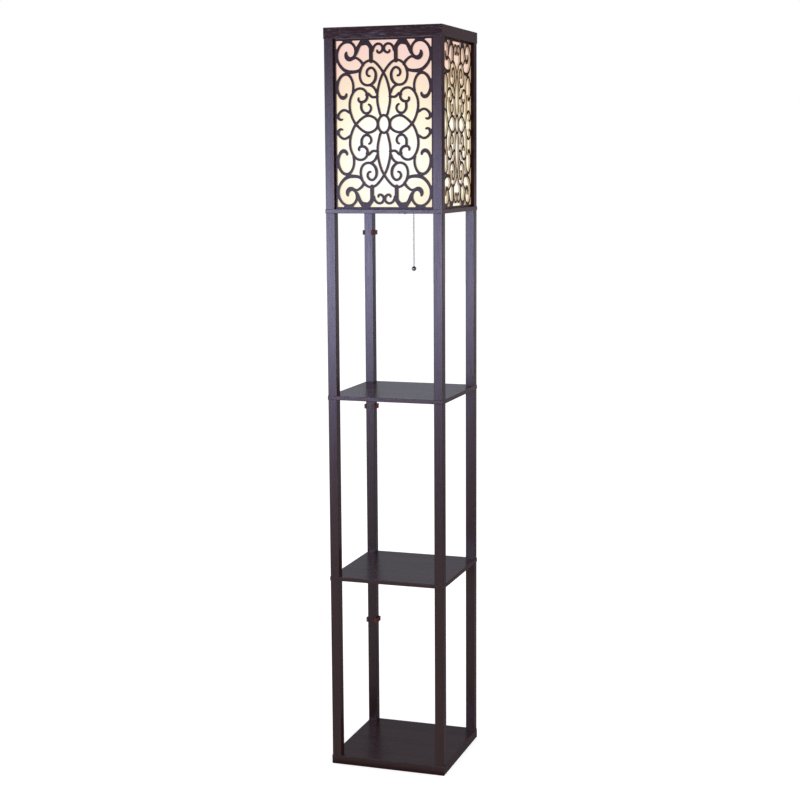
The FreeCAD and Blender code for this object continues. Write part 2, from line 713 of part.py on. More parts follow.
def chain_spout():
    """The side arm of the lamp holder that the chain hangs from, with its mouth pointing down."""
    sideways = FreeCAD.Rotation(FreeCAD.Vector(0, 1, 0), 90)
    arm = cylinder("spout_arm", "spout_arm_diameter", "chain_offset - block_diameter / 2",
                   "block_diameter / 2", "0", f"{FLOOR_TOP} + spout_height", sideways)
    bell = cylinder("spout_bell", "spout_diameter", "spout_rise + spout_drop", "chain_offset", "0",
                    f"{FLOOR_TOP} + spout_height - spout_drop")
    bore = cylinder("spout_mouth", "spout_bore", "spout_rise + spout_drop - spout_roof",
                    "chain_offset", "0", f"{FLOOR_TOP} + spout_height - spout_drop")
    body = doc.addObject("Part::Fuse", "spout_blank")
    body.Base = arm
    body.Tool = bell
    spout = keep(doc.addObject("Part::Cut", "chain_spout"), "chain_spout")
    spout.Base = body
    spout.Tool = bore


def arc_into(start, end, direction):
    """The arc from start to end that arrives along a direction."""
    chord = end - start
    across = FreeCAD.Vector(-chord.y, chord.x, 0).normalize()
    swing = math.atan2(chord.cross(direction).z, chord.dot(direction))
    sag = chord.Length / 2 * math.tan(swing / 2)
    return Part.Arc(start, start + chord / 2 - across * sag, end).toShape()


def globe_solid(neck_radius, globe_radius, low, shoulder, centre):
    """A turned bulb shape, standing on its neck, whose flare runs smoothly into the globe."""
    meets = 0.8
    join = FreeCAD.Vector(meets * globe_radius, centre - math.sqrt(1 - meets ** 2) * globe_radius, 0)
    heading = FreeCAD.Vector(math.sqrt(1 - meets ** 2), meets, 0)
    neck = FreeCAD.Vector(neck_radius, shoulder, 0)
    foot = FreeCAD.Vector(neck_radius, low, 0)
    top = FreeCAD.Vector(0, centre + globe_radius, 0)
    edges = [
        Part.LineSegment(FreeCAD.Vector(0, low, 0), foot).toShape(),
        Part.LineSegment(foot, neck).toShape(),
        arc_into(neck, join, heading),
        Part.Arc(join, FreeCAD.Vector(globe_radius, centre, 0), top).toShape(),
        Part.LineSegment(top, FreeCAD.Vector(0, low, 0)).toShape(),
    ]
    face = Part.Face(Part.Wire(edges))
    return face.revolve(FreeCAD.Vector(), FreeCAD.Vector(0, 1, 0), 360)


def bulb_glass(sheet):
    """The frosted glass, open below where its neck stands in the bulb's cap."""
    seat = sheet.foot_height + sheet.bulb_cap_height
    centre = sheet.bulb_length - sheet.globe_diameter / 2
    wall = sheet.glass_wall
    stem_radius = sheet.bulb_cap_diameter / 2 - sheet.bulb_cap_wall - sheet.socket_play / 2
    outer = globe_solid(sheet.neck_diameter / 2, sheet.globe_diameter / 2, seat, seat + 1, centre)
    stem = Part.makeCylinder(stem_radius, sheet.neck_seat, FreeCAD.Vector(0, seat - sheet.neck_seat, 0),
                             FreeCAD.Vector(0, 1, 0))
    inner = globe_solid(stem_radius - wall, sheet.globe_diameter / 2 - wall,
                        seat - sheet.neck_seat, seat + 1, centre)
    glass = keep(doc.addObject("Part::Feature", "bulb_glass"), "bulb_glass")
    glass.Shape = outer.fuse(stem).removeSplitter().cut(inner)
    place(glass, z=f"{FLOOR_TOP} + {FOOT_LEVEL}", tilt=FreeCAD.Rotation(FreeCAD.Vector(1, 0, 0), 90))


def bulb(sheet):
    ring_level = f"{FLOOR_TOP} + {FOOT_LEVEL}"
    turned("bulb_foot", [
        ("0", "0"), ("foot_diameter / 4", "0"), ("foot_diameter / 2", "foot_height / 2"),
        ("foot_diameter / 2", "foot_height"), ("0", "foot_height")], z=ring_level)
    radius = "(bulb_cap_diameter / 2)"
    turned("bulb_cap", [
        ("0", "0"), ("foot_diameter / 2", "0"), (radius, "bulb_cap_cone"), (radius, "bulb_cap_height"),
        (f"{radius} - bulb_cap_wall", "bulb_cap_height"), (f"{radius} - bulb_cap_wall", "bulb_cap_cone"),
        ("0", "bulb_cap_cone")], z=f"{FLOOR_TOP} + {BULB_CAP_LEVEL}")
    bulb_glass(sheet)


# ---- pull chain ----

LINK_LEVEL = f"({LAMP_FLOOR} - link_drop)"


def bead_string(label, count, first, low_stub, high_stub, sheet):
    """Beads on their wire, one solid: the first bead's height, then up by a pitch at a time."""
    bead = sheet.bead_diameter / 2
    wire = sheet.wire_diameter / 2
    reach = math.sqrt(bead ** 2 - wire ** 2)
    low = first - bead - low_stub
    high = first + (count - 1) * sheet.bead_pitch + bead + high_stub
    spots = [FreeCAD.Vector(0, low, 0), FreeCAD.Vector(wire, low, 0)]
    edges = [Part.LineSegment(*spots).toShape()]
    here = spots[-1]
    for i in range(count):
        middle = first + i * sheet.bead_pitch
        start = FreeCAD.Vector(wire, middle - reach, 0)
        end = FreeCAD.Vector(wire, middle + reach, 0)
        edges.append(Part.LineSegment(here, start).toShape())
        edges.append(Part.Arc(start, FreeCAD.Vector(bead, middle, 0), end).toShape())
        here = end
    corner = FreeCAD.Vector(wire, high, 0)
    top = FreeCAD.Vector(0, high, 0)
    edges.append(Part.LineSegment(here, corner).toShape())
    edges.append(Part.LineSegment(corner, top).toShape())
    edges.append(Part.LineSegment(top, spots[0]).toShape())
    solid = Part.Face(Part.Wire(edges)).revolve(FreeCAD.Vector(), FreeCAD.Vector(0, 1, 0), 360)
    chain = keep(doc.addObject("Part::Feature", label), label)
    chain.Shape = solid
    place(chain, "chain_offset", "0", LINK_LEVEL, tilt=FreeCAD.Rotation(FreeCAD.Vector(1, 0, 0), 90))


def pull_chain(sheet):
    pitch = sheet.bead_pitch
    between = pitch - sheet.bead_diameter
    stub = between - sheet.link_gap
    upper, lower = round(sheet.upper_beads), round(sheet.lower_beads)
    bead_string("chain_upper", upper, pitch, stub, 0.2, sheet)
    bead_string("chain_lower", lower, -lower * pitch, between, stub, sheet)
    link = keep(doc.addObject("Part::Sphere", "chain_link"), "chain_link")
    bind(link, "Radius", "bead_diameter / 2")
    place(link, "chain_offset", "0", LINK_LEVEL)

    last = f"({LINK_LEVEL} - lower_beads * bead_pitch)"
    neck_top = f"({last} + bead_diameter / 2 - bead_pitch)"
    ball_middle = f"({neck_top} - pull_neck_length - pull_ball_diameter / 2)"
    neck = cylinder("pull_neck", "pull_neck_diameter", "pull_neck_length + pull_ball_diameter / 2",
                    "chain_offset", "0", ball_middle)
    ball = doc.addObject("Part::Sphere", "ball")
    bind(ball, "Radius", "pull_ball_diameter / 2")
    place(ball, "chain_offset", "0", ball_middle)
    pull = keep(doc.addObject("Part::Fuse", "pull_ball"), "pull_ball")
    pull.Base = neck
    pull.Tool = ball


def chain_grommet():
    bore, barrel, flange = "grommet_bore / 2", "grommet_bore / 2 + grommet_wall", "grommet_flange / 2"
    turned("chain_grommet", [
        (bore, "0"), (flange, "0"), (flange, "grommet_lip"), (barrel, "grommet_lip"),
        (barrel, "grommet_lip + lamp_floor_thickness"), (bore, "grommet_lip + lamp_floor_thickness")],
        x="chain_offset", z=f"{LAMP_FLOOR} - grommet_lip")


# ---- cord gland and clips ----

def cord_gland():
    x, y = f"-({HALF} - gland_inset)", f"{HALF} - gland_inset"
    bore, barrel, flange = "gland_bore / 2", "gland_barrel / 2", "gland_flange / 2"
    shoulder = "lamp_floor_thickness + gland_tail"
    turned("cord_gland", [
        (bore, "0"), (barrel, "0"), (barrel, shoulder), (flange, shoulder),
        (flange, f"{shoulder} + gland_lip"), (bore, f"{shoulder} + gland_lip")],
        x, y, f"{LAMP_FLOOR} - gland_tail")
    ring("gland_nut", "gland_barrel + pipe_play", "gland_nut_diameter", "gland_nut_height",
         x, y, f"{LAMP_FLOOR} - gland_nut_height")


def cord_clip(label, level):
    """A clip that snaps round the post from behind, with a channel for a cord against the post."""
    near, far = "clip_wall", "(clip_wall + post_size)"
    front, rear = "clip_lip", "(clip_lip + post_size)"
    left, right = (f"(clip_wall + post_size / 2 {sign} clip_channel / 2)" for sign in "-+")
    channel_end, width = f"{rear} + clip_channel_depth", "(post_size + 2 * clip_wall)"
    spine, hump = f"{rear} + clip_spine", f"{channel_end} + clip_channel_wall"
    body = new_body(label)
    plan = new_sketch(body, label + "_plan")
    outline(plan, [
        ("0", "0"), (f"{near} + clip_short_lip", "0"), (f"{near} + clip_short_lip", front),
        (near, front), (near, rear), (left, rear), (left, channel_end), (right, channel_end),
        (right, rear), (far, rear), (far, front), (f"{far} - clip_long_lip", front),
        (f"{far} - clip_long_lip", "0"), (width, "0"), (width, spine),
        (f"{right} + clip_channel_wall", spine), (f"{right} + clip_channel_wall", hump),
        (f"{left} - clip_channel_wall", hump), (f"{left} - clip_channel_wall", spine), ("0", spine)])
    blank = pad(body, plan, "clip_height")
    span = blank.Shape.BoundBox

    def outer_corner(edge):
        spot = edge.CenterOfMass
        at_side = min(abs(spot.x - span.XMin), abs(spot.x - span.XMax)) < 0.01
        return runs_along("z")(edge) and (at_side or abs(spot.y - span.YMax) < 0.01)

    ease(body, blank, "clip_round", outer_corner)
    place(body, f"-{POST_FACE} - clip_wall", f"{POST_FACE} - post_size - clip_lip", level)


def clips():
    for tier, (_, foot) in TIERS.items():
        cord_clip(f"{tier}_cord_clip", f"{foot} + {tier}_clip_rise")


# ---- the whole lamp ----

def check_and_export():
    doc.recompute()
    for thing in doc.Objects:
        if "Invalid" in thing.State or "Error" in thing.State:
            raise RuntimeError(f"{thing.Label} did not compute: {thing.State}")
    os.makedirs("parts", exist_ok=True)
    for node in nodes:
        shape = node.Shape
        if shape.isNull() or not shape.isValid() or shape.Volume <= 0:
            raise RuntimeError(f"{node.Label} has no valid shape")
        shape.exportStep(f"parts/{node.Label}.step")
        box = shape.BoundBox
        print(f"{node.Label:26s} {len(shape.Solids):2d} solids {shape.Volume:12.1f} mm3  "
              f"z {box.ZMin:8.2f} to {box.ZMax:8.2f}")
    print(len(nodes), "nodes")


def main():
    sheet = make_sheet()
    base_board()
    board("lower_shelf", "lower_shelf_thickness", LOWER_SHELF)
    board("upper_shelf", "upper_shelf_thickness", UPPER_SHELF)
    lamp_floor()
    posts()
    top_frame()
    fasteners()
    panels_and_liners(sheet)
    pipe_and_nut()
    lamp_holder()
    chain_spout()
    bulb(sheet)
    pull_chain(sheet)
    chain_grommet()
    cord_gland()
    clips()
    check_and_export()


main()
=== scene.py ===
"""Dresses the shelf floor lamp: finishes, bulb, lamp holder, pull chain, fittings and stage."""

import bmesh
import bpy
import math
from mathutils import Matrix, Vector


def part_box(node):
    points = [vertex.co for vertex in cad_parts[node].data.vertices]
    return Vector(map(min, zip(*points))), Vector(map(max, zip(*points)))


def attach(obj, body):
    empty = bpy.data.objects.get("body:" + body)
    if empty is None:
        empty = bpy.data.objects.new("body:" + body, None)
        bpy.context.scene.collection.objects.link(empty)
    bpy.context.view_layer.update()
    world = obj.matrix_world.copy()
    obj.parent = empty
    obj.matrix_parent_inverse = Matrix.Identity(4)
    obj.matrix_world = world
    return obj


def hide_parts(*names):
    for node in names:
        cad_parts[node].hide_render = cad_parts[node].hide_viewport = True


bl_info = {
    "name": "Shelf floor lamp",
    "version": (1, 0, 0),
    "blender": (4, 5, 0),
    "location": "3D View > Sidebar > Lamp",
    "description": "Dresses the shelf floor lamp and sets its stage",
    "category": "Object",
}

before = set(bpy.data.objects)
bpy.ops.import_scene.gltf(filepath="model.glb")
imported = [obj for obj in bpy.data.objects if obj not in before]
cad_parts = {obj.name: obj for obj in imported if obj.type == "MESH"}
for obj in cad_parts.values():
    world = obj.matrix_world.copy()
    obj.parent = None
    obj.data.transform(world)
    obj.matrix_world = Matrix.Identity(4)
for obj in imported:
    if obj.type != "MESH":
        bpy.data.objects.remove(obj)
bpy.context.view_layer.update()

CORNERS = ("front_left", "front_right", "rear_right", "rear_left")
SIDES = ("front", "right", "rear", "left")
TIERS = ("lower", "middle", "upper")
UP = Vector((0, 0, 1))

# The Mix node's sockets go by number, because its kinds share their names.
FACTOR, NUMBER_A, NUMBER_B, COLOUR_A, COLOUR_B, MIXED_COLOUR = 0, 2, 3, 6, 7, 2


# ---- sizes and colours a user would change ----

class LampFinish(bpy.types.PropertyGroup):
    wood: bpy.props.StringProperty(
        name="Wood", description="Espresso stain on the posts, boards and rails", default="#301817")
    wood_grain: bpy.props.StringProperty(
        name="Wood grain", description="Darker lines of the grain", default="#1C0C0C")
    cut_edge: bpy.props.StringProperty(
        name="Cut edge", description="Bare cut edges of the fretwork", default="#D3C2A8")
    liner_bright: bpy.props.StringProperty(
        name="Liner by the bulb", description="Glow of the liner nearest the bulb",
        default="#FFFFFA")
    liner_cream: bpy.props.StringProperty(
        name="Liner round the bulb", description="Glow of the liner round the bulb",
        default="#FDF7DA")
    liner_warm: bpy.props.StringProperty(
        name="Liner further off", description="Glow of the liner away from the bulb",
        default="#F9E3C8")
    liner_pink: bpy.props.StringProperty(
        name="Liner furthest off", description="Glow of the liner along its top", default="#F6D3C8")
    clip: bpy.props.StringProperty(
        name="Clips", description="Brown of the cord clips", default="#5E2A20")
    brass: bpy.props.StringProperty(
        name="Brass", description="Drawn brass of the lamp holder", default="#C8A25A")
    zinc: bpy.props.StringProperty(
        name="Zinc", description="Plating of the pipe, nut, studs and bolts", default="#8F908C")
    nickel: bpy.props.StringProperty(
        name="Nickel", description="Plating of the pull chain", default="#8F8E8D")
    ball: bpy.props.StringProperty(
        name="Ball", description="Lacquer on the pull chain's ball", default="#66646A")


class LampSizes(bpy.types.PropertyGroup):
    brass_wall: bpy.props.FloatProperty(
        name="Brass wall", description="Thickness of the lamp holder's drawn brass", default=0.0008,
        unit="LENGTH")
    rolled_rim: bpy.props.FloatProperty(
        name="Rolled rim", description="Height of the bead rolled round the lamp holder's mouth",
        default=0.0024, unit="LENGTH")
    cap_round: bpy.props.FloatProperty(
        name="Cap's round", description="Radius at the foot of the lamp holder's cap",
        default=0.006, unit="LENGTH")
    cap_seam: bpy.props.FloatProperty(
        name="Cap's seam", description="From the lamp floor to where the shell sits on the cap",
        default=0.016, unit="LENGTH")
    grain_width: bpy.props.FloatProperty(
        name="Grain width", description="Distance across the wood's grain lines", default=0.0022,
        unit="LENGTH")


class LampStage(bpy.types.PropertyGroup):
    azimuth: bpy.props.FloatProperty(
        name="Azimuth", description="Camera's angle round the lamp from the front, to the right",
        default=math.radians(18.69), subtype="ANGLE")
    distance: bpy.props.FloatProperty(
        name="Distance", description="From the lamp's axis to the camera, level", default=3.5674,
        unit="LENGTH")
    height: bpy.props.FloatProperty(
        name="Height", description="Camera's height above the floor", default=1.3183,
        unit="LENGTH")
    aside: bpy.props.FloatProperty(
        name="Aside", description="Camera's shift to its right", default=-0.00915, unit="LENGTH")
    tilt: bpy.props.FloatProperty(
        name="Tilt", description="How far the camera looks down", default=math.radians(8.2203),
        subtype="ANGLE")
    roll: bpy.props.FloatProperty(
        name="Roll", description="Camera's turn about its own line of sight",
        default=math.radians(-0.3737), subtype="ANGLE")
    lens: bpy.props.FloatProperty(
        name="Lens", description="Focal length in millimetres on a 36 mm sensor", default=73.618)
    softbox: bpy.props.FloatProperty(
        name="Softbox", description="Brightness of the softbox at the front left", default=37.0)


# ---- materials ----

def linear(code):
    """An sRGB hex colour as linear red, green, blue and alpha."""
    parts = [int(code[i:i + 2], 16) / 255 for i in (1, 3, 5)]
    return [c / 12.92 if c <= 0.04045 else ((c + 0.055) / 1.055) ** 2.4 for c in parts] + [1.0]


def add(tree, kind, links=None, stops=None, **settings):
    """Add a node with its settings, its ramp's stops and its inputs' values or feeding sockets."""
    made = tree.nodes.new(kind)
    for name, value in settings.items():
        setattr(made, name, value)
    if stops:
        ramp = made.color_ramp
        while len(ramp.elements) < len(stops):
            ramp.elements.new(1.0)
        for element, (position, colour) in zip(ramp.elements, stops):
            element.position = position
            element.color = colour
    for socket, value in (links or {}).items():
        if isinstance(value, bpy.types.NodeSocket):
            tree.links.new(value, made.inputs[socket])
        else:
            made.inputs[socket].default_value = value
    return made


def emptied(owner):
    """The node tree of a material or a world, with nothing in it yet."""
    owner.use_nodes = True
    owner.node_tree.nodes.clear()
    return owner.node_tree


def new_finish(name, **sockets):
    """A material with one shader whose sockets are set: returns it, its tree and that shader."""
    material = bpy.data.materials.new(name)
    tree = emptied(material)
    shader = add(tree, "ShaderNodeBsdfPrincipled",
                 {socket.replace("_", " "): value for socket, value in sockets.items()})
    add(tree, "ShaderNodeOutputMaterial", {"Surface": shader.outputs[0]})
    return material, tree, shader


def dress(material, *nodes):
    """Give CAD nodes a material."""
    for name in nodes:
        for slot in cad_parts[name].material_slots:
            slot.material = material


# Grey that noise seldom goes below or above.
NOISE_LOW, NOISE_HIGH = 0.3, 0.7

# Layers of the wood's grain, each with its width and length in grain widths and its detail: fine
# lines, broad figure and short open pores.
GRAIN_LAYERS = ((1, 34, 3.0), (7, 260, 4.0), (1 / 2.6, 9, 1.0))

# The broad figure's share in the grain, and how far each channel of the stain rises in the lines
# where it is warmest.
FIGURE_SHARE = 0.45
WARM_LINES = (1.28, 1.16, 1.12, 1)

# The noise from which a pore starts and is fully open, and its depth as a share of the relief.
PORE_EDGE, PORE_OPEN = 0.62, 0.72
PORE_DEPTH = 0.6

# How far the lacquer's roughness varies over the grain, and the relief's height in metres.
LACQUER_SWING = 0.05
WOOD_RELIEF = 0.0002


def grain_of(tree, along, width):
    """Long fibres on Object coordinates: the noise of each layer of the grain."""
    place = add(tree, "ShaderNodeTexCoord").outputs["Object"]
    layers = []
    for across, length, detail in GRAIN_LAYERS:
        scale = [1 / (width * across)] * 3
        scale["XYZ".index(along)] = 1 / (width * length)
        spot = add(tree, "ShaderNodeMapping", {"Vector": place, "Scale": scale})
        layers.append(add(tree, "ShaderNodeTexNoise",
                          {"Vector": spot.outputs[0], "Scale": 1.0, "Detail": detail,
                           "Roughness": 0.55, "Distortion": 0.25}).outputs["Fac"])
    return layers


def espresso_wood(name, along, rough):
    # Espresso-stained rubberwood under satin lacquer: near-black brown with a little red, faint
    # long grain that only shows where light slides over it, soft broad highlights, filled pores.
    look, sizes = bpy.context.scene.lamp_finish, bpy.context.scene.lamp_sizes
    material, tree, shader = new_finish(name, Specular_IOR_Level=0.2, Roughness=rough)
    fine, broad, pores = grain_of(tree, along, sizes.grain_width)
    figure = add(tree, "ShaderNodeMix", {FACTOR: FIGURE_SHARE, NUMBER_A: fine, NUMBER_B: broad},
                 data_type="FLOAT").outputs[0]
    dark, plain = linear(look.wood_grain), linear(look.wood)
    warm = [channel * rise for channel, rise in zip(plain, WARM_LINES)]
    colour = add(tree, "ShaderNodeValToRGB", {"Fac": figure},
                 stops=[(0.32, dark), (0.5, plain), (0.68, warm)]).outputs["Color"]
    pore = add(tree, "ShaderNodeMapRange",
               {"Value": pores, "From Min": PORE_EDGE, "From Max": PORE_OPEN}).outputs[0]
    colour = add(tree, "ShaderNodeMix", {FACTOR: pore, COLOUR_A: colour, COLOUR_B: dark},
                 data_type="RGBA").outputs[MIXED_COLOUR]
    tree.links.new(colour, shader.inputs["Base Color"])
    sheen = add(tree, "ShaderNodeMapRange",
                {"Value": figure, "From Min": NOISE_LOW, "From Max": NOISE_HIGH,
                 "To Min": rough + LACQUER_SWING, "To Max": rough - LACQUER_SWING})
    tree.links.new(sheen.outputs[0], shader.inputs["Roughness"])
    dips = add(tree, "ShaderNodeMath", {0: pore, 1: -PORE_DEPTH}, operation="MULTIPLY")
    relief = add(tree, "ShaderNodeMath", {0: fine, 1: dips.outputs[0]}, operation="ADD")
    bump = add(tree, "ShaderNodeBump", {"Height": relief.outputs[0], "Strength": 0.35,
                                        "Distance": WOOD_RELIEF})
    tree.links.new(bump.outputs[0], shader.inputs["Normal"])
    return material


def fretwork_board(name, facing):
    # Stained MDF, scroll-cut after its faces were sealed: the faces are as dark and smooth as the
    # posts, and the cut edges are bare, tan and furry and catch the liner's light.
    look, sizes = bpy.context.scene.lamp_finish, bpy.context.scene.lamp_sizes
    # Roughness of the sealed faces and of the bare cuts, and the size of a cut fibre, which is
    # coarser than real so that it shows.
    sealed, bare, fibre = 0.3, 0.85, 1 / 1400
    material, tree, shader = new_finish(name, Specular_IOR_Level=0.1, Roughness=sealed)
    fine, broad, _ = grain_of(tree, "Z", sizes.grain_width)
    figure = add(tree, "ShaderNodeMix", {FACTOR: 0.5, NUMBER_A: fine, NUMBER_B: broad},
                 data_type="FLOAT").outputs[0]
    face = add(tree, "ShaderNodeValToRGB", {"Fac": figure},
               stops=[(0.3, linear(look.wood_grain)), (0.62, linear(look.wood))]).outputs["Color"]
    place = add(tree, "ShaderNodeTexCoord").outputs
    normal = add(tree, "ShaderNodeSeparateXYZ", {"Vector": place["Normal"]}).outputs[facing]
    square_on = add(tree, "ShaderNodeMath", {0: normal}, operation="ABSOLUTE").outputs[0]
    on_face = add(tree, "ShaderNodeMapRange",
                  {"Value": square_on, "From Min": 0.4, "From Max": 0.8}).outputs[0]
    colour = add(tree, "ShaderNodeMix",
                 {FACTOR: on_face, COLOUR_A: linear(look.cut_edge), COLOUR_B: face},
                 data_type="RGBA").outputs[MIXED_COLOUR]
    tree.links.new(colour, shader.inputs["Base Color"])
    rough = add(tree, "ShaderNodeMapRange", {"Value": on_face, "To Min": bare, "To Max": sealed})
    tree.links.new(rough.outputs[0], shader.inputs["Roughness"])
    fuzz = add(tree, "ShaderNodeTexNoise",
               {"Vector": place["Object"], "Scale": 1 / fibre, "Detail": 2.0}).outputs["Fac"]
    bump = add(tree, "ShaderNodeBump", {"Height": fuzz, "Strength": 0.25, "Distance": WOOD_RELIEF})
    tree.links.new(bump.outputs[0], shader.inputs["Normal"])
    return material


def lit_liner():
    # Opal vinyl sheet lit from behind: even and matt, near-white by the bulb, cream round it and
    # rosy along the top, where the bulb's light comes through at a slant.
    look = bpy.context.scene.lamp_finish
    material, tree, shader = new_finish("opal_vinyl_liner", Specular_IOR_Level=0.2, Roughness=0.6,
                                        Emission_Strength=0.98, Base_Color=linear("#33312D"))
    # From the globe's top down to the brightest place, how fast the glow fades along each axis,
    # the distances it fades between, and the size and the push of the sheet's faint clouds.
    below_top = 0.035
    fade_rates = (0.78, 0.78, 0.72)
    near, far_off = 0.097, 0.19
    cloud, cloud_push = 1 / 60, 0.008
    place = add(tree, "ShaderNodeTexCoord").outputs["Object"]
    light = Vector((0, 0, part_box("bulb_glass")[1][2] - below_top))
    away = add(tree, "ShaderNodeVectorMath", {0: place, 1: light}, operation="SUBTRACT").outputs[0]
    away = add(tree, "ShaderNodeVectorMath", {0: away, 1: fade_rates},
               operation="MULTIPLY").outputs[0]
    far = add(tree, "ShaderNodeVectorMath", {0: away}, operation="LENGTH").outputs["Value"]
    haze = add(tree, "ShaderNodeTexNoise", {"Vector": place, "Scale": 1 / cloud, "Detail": 5.0,
                                            "Roughness": 0.7}).outputs["Fac"]
    far = add(tree, "ShaderNodeMath", {0: haze, 1: cloud_push, 2: far},
              operation="MULTIPLY_ADD").outputs[0]
    fade = add(tree, "ShaderNodeMapRange", {"Value": far, "From Min": near, "From Max": far_off})
    colour = add(tree, "ShaderNodeValToRGB", {"Fac": fade.outputs[0]},
                 stops=[(0.1, linear(look.liner_bright)), (0.33, linear(look.liner_cream)),
                        (0.63, linear(look.liner_warm)), (0.98, linear(look.liner_pink))])
    tree.links.new(colour.outputs["Color"], shader.inputs["Emission Color"])
    bump = add(tree, "ShaderNodeBump", {"Height": haze, "Strength": 0.1, "Distance": 0.0003})
    tree.links.new(bump.outputs[0], shader.inputs["Normal"])
    return material


def speckled(name, colour, rough, grit, amount=0.12, bump=0.1, **sockets):
    """A finish of one colour that varies a little in tone and gloss, at a grit in metres.

    The real grit is finer than the render can show, so it is drawn as coarse as it has to be."""
    gloss_swing, dimple_share = 0.15, 1 / 8
    material, tree, shader = new_finish(name, Roughness=rough, **sockets)
    place = add(tree, "ShaderNodeTexCoord").outputs["Object"]
    spots = add(tree, "ShaderNodeTexNoise", {"Vector": place, "Scale": 1 / grit, "Detail": 4.0,
                                             "Roughness": 0.6}).outputs["Fac"]
    plain = linear(colour)
    dark = [c * (1 - amount) for c in plain[:3]] + [1.0]
    light = [min(1.0, c * (1 + amount)) for c in plain[:3]] + [1.0]
    tone = add(tree, "ShaderNodeValToRGB", {"Fac": spots},
               stops=[(NOISE_LOW, dark), (NOISE_HIGH, light)])
    tree.links.new(tone.outputs["Color"], shader.inputs["Base Color"])
    gloss = add(tree, "ShaderNodeMapRange",
                {"Value": spots, "From Min": NOISE_LOW, "From Max": NOISE_HIGH,
                 "To Min": rough * (1 - gloss_swing), "To Max": rough * (1 + gloss_swing)})
    tree.links.new(gloss.outputs[0], shader.inputs["Roughness"])
    dimple = add(tree, "ShaderNodeBump", {"Height": spots, "Strength": bump,
                                          "Distance": grit * dimple_share})
    tree.links.new(dimple.outputs[0], shader.inputs["Normal"])
    return material


# ---- shapes ----

def object_from(mesh, name, material):
    """A bmesh as an object of the scene, with its material."""
    data = bpy.data.meshes.new(name)
    mesh.to_mesh(data)
    mesh.free()
    data.materials.append(material)
    made = bpy.data.objects.new(name, data)
    bpy.context.scene.collection.objects.link(made)
    return made


def piece_from(mesh, name, body, material, node):
    """Finish a bmesh as a smooth piece that rides on a body and stands for a CAD node."""
    bmesh.ops.remove_doubles(mesh, verts=mesh.verts, dist=1e-6)
    bmesh.ops.recalc_face_normals(mesh, faces=mesh.faces)
    piece = object_from(mesh, name, material)
    for face in piece.data.polygons:
        face.use_smooth = True
    piece.data.set_sharp_from_angle(angle=math.radians(40))
    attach(piece, body)
    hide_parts(node)


def turned(profile, steps=72):
    """A bmesh of a closed profile of radius and height pairs, spun round the lamp's axis."""
    mesh = bmesh.new()
    ring = [mesh.verts.new((radius, 0, height)) for radius, height in profile]
    edges = [mesh.edges.new((ring[i - 1], ring[i])) for i in range(len(ring))]
    bmesh.ops.spin(mesh, geom=ring + edges, cent=(0, 0, 0), axis=UP, angle=2 * math.pi,
                   steps=steps, use_merge=True, use_duplicate=False)
    return mesh


def bead(radius, low, high, swell, steps=8):
    """A half-round bead that stands out from a radius, from its low edge to its high one."""
    turns = [math.pi * i / steps for i in range(steps + 1)]
    return [(radius + swell * math.sin(turn), (low + high) / 2 - (high - low) / 2 * math.cos(turn))
            for turn in turns]


def rounded(radius, low, bend, steps=8):
    """The round from a flat foot out to a radius."""
    turns = [math.pi / 2 * i / steps for i in range(steps + 1)]
    return [(radius - bend + bend * math.sin(turn), low + bend - bend * math.cos(turn))
            for turn in turns]


# ---- operators, one for each group of pieces ----

class LAMP_OT_wood(bpy.types.Operator):
    """Stain the posts, boards and top rails"""
    bl_idname = "lamp.wood"
    bl_label = "Posts, boards and rails"

    def execute(self, context):
        upright = espresso_wood("espresso_rubberwood_upright", "Z", 0.27)
        crosswise = espresso_wood("espresso_rubberwood_board", "X", 0.25)
        endwise = espresso_wood("espresso_rubberwood_top_rail", "X", 0.19)
        lengthwise = espresso_wood("espresso_rubberwood_side_rail", "Y", 0.19)
        for corner in CORNERS:
            dress(upright, f"lamp_post_{corner}", *[f"{tier}_post_{corner}" for tier in TIERS])
        dress(crosswise, "base_board", "lower_shelf", "upper_shelf", "lamp_floor")
        dress(endwise, "top_rail_front", "top_rail_rear")
        dress(lengthwise, "top_rail_left", "top_rail_right")
        return {"FINISHED"}


class LAMP_OT_fretwork(bpy.types.Operator):
    """Stain the fretwork panels and light the liners behind them"""
    bl_idname = "lamp.fretwork"
    bl_label = "Fretwork and liners"

    def execute(self, context):
        fore_and_aft = fretwork_board("espresso_fretwork_fore_and_aft", "Y")
        sideways = fretwork_board("espresso_fretwork_sideways", "X")
        dress(fore_and_aft, "fretwork_front", "fretwork_rear")
        dress(sideways, "fretwork_left", "fretwork_right")
        dress(lit_liner(), *[f"liner_{side}" for side in SIDES])
        return {"FINISHED"}


